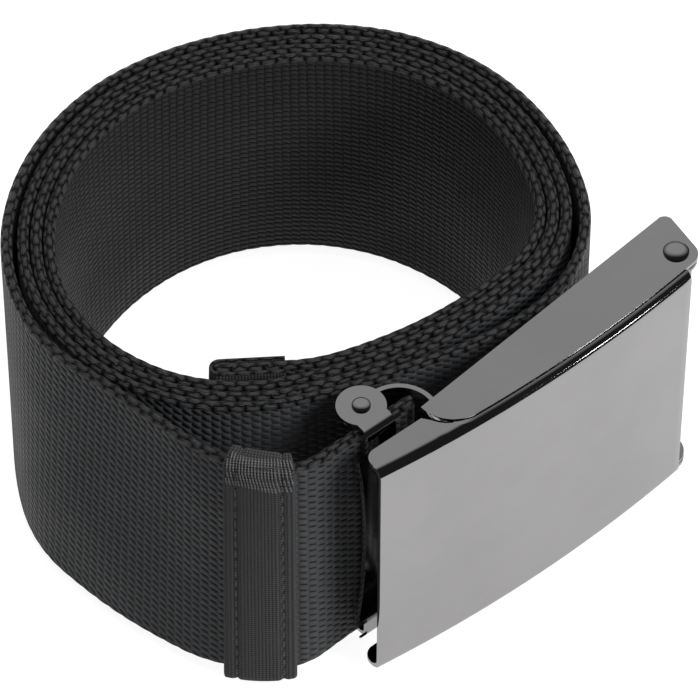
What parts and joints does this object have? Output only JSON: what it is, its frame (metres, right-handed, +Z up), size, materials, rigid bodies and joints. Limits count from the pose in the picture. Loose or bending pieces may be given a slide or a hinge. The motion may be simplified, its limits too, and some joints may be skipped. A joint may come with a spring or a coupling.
{
  "type": "dive weight belt",
  "caption": "Rolled nylon webbing belt with a fabric keeper loop and a quick-release steel lever buckle that clamps the fixed end and pins the free end.",
  "frame": {"origin": "bottom centre of the bounding box of the rolled belt as it stands on its webbing's edge", "axes": "+Z up along the webbing's width; -Y is the buckle's face side; +X along the buckle, from the clamped end towards the lever pin"},
  "size_m": [0.0926, 0.0956, 0.054],
  "materials": {
    "webbing": "ribbed woven nylon",
    "tape": "plain woven tape",
    "thread": "bonded nylon thread",
    "polished_steel": "polished",
    "steel": "satin"
  },
  "bodies": {
    "belt": {"webbing_strap": "webbing", "tip_binding": "tape", "tip_thread": "thread", "buckle_frame": "polished_steel", "lever_pin": "polished_steel", "clamp_pin": "polished_steel"},
    "lever": {"lever_cover": "polished_steel", "lever_bracket": "steel", "cam_bar": "steel"},
    "jaw": {"clamp_jaw": "polished_steel"},
    "keeper": {"keeper_loop": "tape", "keeper_thread": "thread"}
  },
  "joints": [
    {"name": "lever_hinge", "type": "hinge", "parent": "belt", "child": "lever", "pos_m": [0.0418, -0.04132, 0.027], "axis": [0, 0, 1], "range_deg": [0, 110]},
    {"name": "jaw_hinge", "type": "hinge", "parent": "belt", "child": "jaw", "pos_m": [-0.0168, -0.03362, 0.027], "axis": [0, 0, 1], "range_deg": [0, 10]},
    {"name": "keeper_slide", "type": "hinge", "parent": "belt", "child": "keeper", "pos_m": [-0.01578, -0.01574, 0.027], "axis": [0, 0, -1], "range_deg": [0, 10]}
  ]
}
